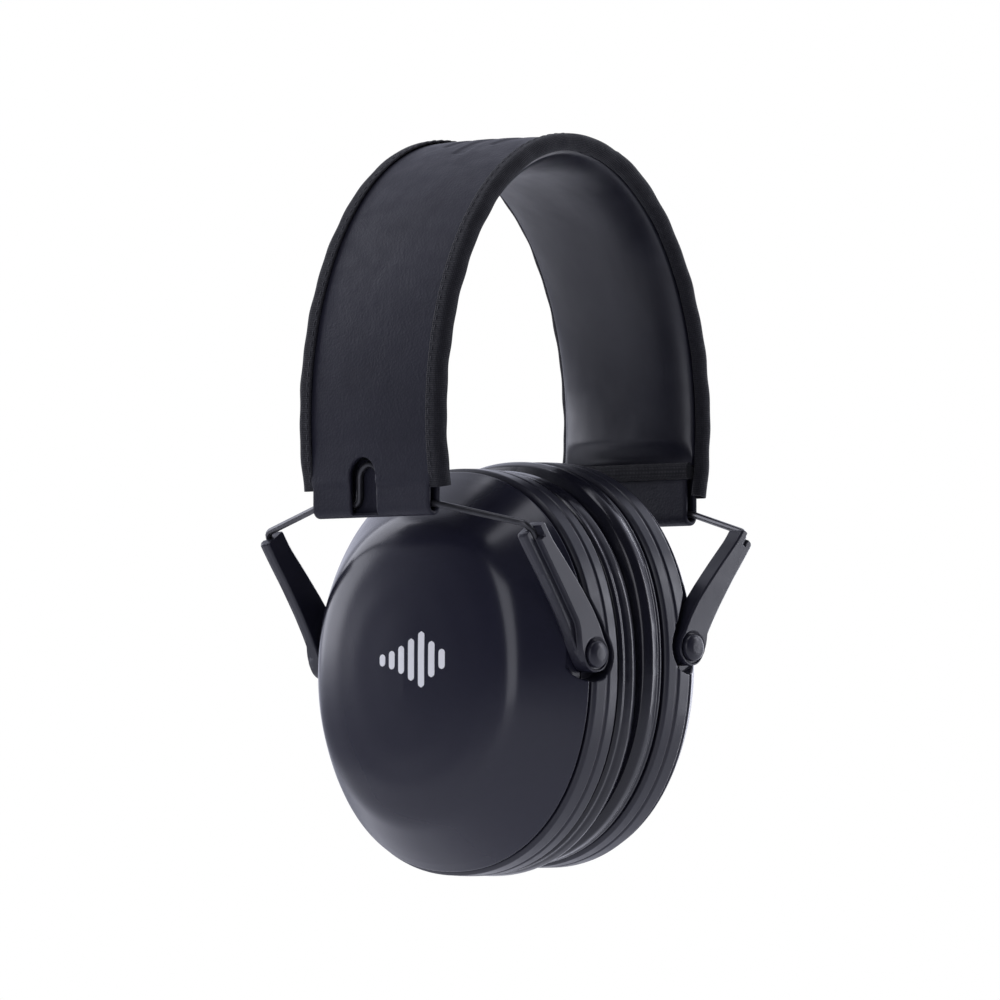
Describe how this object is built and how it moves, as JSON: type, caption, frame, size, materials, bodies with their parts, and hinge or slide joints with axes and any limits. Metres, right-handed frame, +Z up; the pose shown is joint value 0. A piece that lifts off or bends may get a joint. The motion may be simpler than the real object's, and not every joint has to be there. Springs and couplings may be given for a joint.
{
  "type": "earmuff hearing protector",
  "caption": "Passive over-the-head earmuff: padded sprung headband, wire bails with sliding arms, and two rounded cups with soft ring cushions that meet when it is not worn.",
  "frame": {"origin": "the inner crown of the head pad, where a head touches it, midway between the sides and between front and rear", "axes": "+Z up, away from the head; +X towards the right cup; +Y towards the rear"},
  "size_m": [0.101, 0.0972, 0.185],
  "materials": {
    "band_cover": "matt black leatherette with a fine grain",
    "woven_tape": "black ribbed woven binding tape, stitched",
    "pad_lining": "smooth semi-gloss black vinyl over foam",
    "spring_steel": "plain spring steel, hidden inside",
    "bail_wire": "black coated spring wire",
    "moulded_black": "moulded black plastic, satin",
    "shell_satin": "satin black plastic shell",
    "cushion_skin": "glossy black vinyl over soft foam",
    "foam": "open-cell foam"
  },
  "bodies": {
    "headband": {"crown_outer_cover": "band_cover", "crown_band_spring": "spring_steel", "crown_head_pad": "pad_lining", "crown_edge_binding_front": "woven_tape", "crown_edge_binding_rear": "woven_tape"},
    "left_leg": {"left_outer_cover": "band_cover", "left_band_spring": "spring_steel", "left_head_pad": "pad_lining", "left_edge_binding_front": "woven_tape", "left_edge_binding_rear": "woven_tape", "left_end_hook": "band_cover"},
    "left_bail": {"left_bail_wire": "bail_wire"},
    "left_yoke": {"left_arm_front": "moulded_black", "left_arm_rear": "moulded_black", "left_pivot_pin_front": "moulded_black", "left_pivot_pin_rear": "moulded_black"},
    "left_cup": {"left_cup_shell": "shell_satin", "left_cup_frame": "moulded_black", "left_cushion_plate": "moulded_black", "left_ear_cushion": "cushion_skin", "left_acoustic_foam": "foam"},
    "right_leg": {"right_outer_cover": "band_cover", "right_band_spring": "spring_steel", "right_head_pad": "pad_lining", "right_edge_binding_front": "woven_tape", "right_edge_binding_rear": "woven_tape", "right_end_hook": "band_cover"},
    "right_bail": {"right_bail_wire": "bail_wire"},
    "right_yoke": {"right_arm_front": "moulded_black", "right_arm_rear": "moulded_black", "right_pivot_pin_front": "moulded_black", "right_pivot_pin_rear": "moulded_black"},
    "right_cup": {"right_cup_shell": "shell_satin", "right_cup_frame": "moulded_black", "right_cushion_plate": "moulded_black", "right_ear_cushion": "cushion_skin", "right_acoustic_foam": "foam"}
  },
  "joints": [
    {"name": "left_band_flex", "type": "hinge", "parent": "headband", "child": "left_leg", "pos_m": [-0.026, 0, -0.004], "axis": [0, 1, 0], "range_deg": [0, 35], "stiffness_Nm_per_rad": 1.9, "springref_deg": -10.03, "deforming": ["crown_outer_cover", "crown_band_spring", "crown_head_pad", "crown_edge_binding_front", "crown_edge_binding_rear"]},
    {"name": "left_bail_swing", "type": "hinge", "parent": "left_leg", "child": "left_bail", "pos_m": [-0.0472, 0, -0.085], "axis": [0, -1, 0], "range_deg": [0, 5], "deforming": ["left_ear_cushion", "right_ear_cushion"]},
    {"name": "left_height", "type": "slide", "parent": "left_bail", "child": "left_yoke", "axis": [0.5749, 0, -0.8183], "range_m": [0, 0.012], "deforming": ["left_ear_cushion", "right_ear_cushion"]},
    {"name": "left_cup_tilt", "type": "hinge", "parent": "left_yoke", "child": "left_cup", "pos_m": [-0.0177, 0, -0.1222], "axis": [0, -1, 0], "range_deg": [-4, 4], "deforming": ["left_ear_cushion", "right_ear_cushion"]},
    {"name": "right_band_flex", "type": "hinge", "parent": "headband", "child": "right_leg", "pos_m": [0.026, 0, -0.004], "axis": [0, -1, 0], "range_deg": [0, 35], "stiffness_Nm_per_rad": 1.9, "springref_deg": -10.03, "deforming": ["crown_outer_cover", "crown_band_spring", "crown_head_pad", "crown_edge_binding_front", "crown_edge_binding_rear"]},
    {"name": "right_bail_swing", "type": "hinge", "parent": "right_leg", "child": "right_bail", "pos_m": [0.0472, 0, -0.085], "axis": [0, 1, 0], "range_deg": [0, 5], "deforming": ["left_ear_cushion", "right_ear_cushion"]},
    {"name": "right_height", "type": "slide", "parent": "right_bail", "child": "right_yoke", "axis": [-0.6052, 0, -0.7961], "range_m": [0, 0.012], "deforming": ["left_ear_cushion", "right_ear_cushion"]},
    {"name": "right_cup_tilt", "type": "hinge", "parent": "right_yoke", "child": "right_cup", "pos_m": [0.0177, 0, -0.1198], "axis": [0, 1, 0], "range_deg": [-4, 4], "deforming": ["left_ear_cushion", "right_ear_cushion"]}
  ]
}
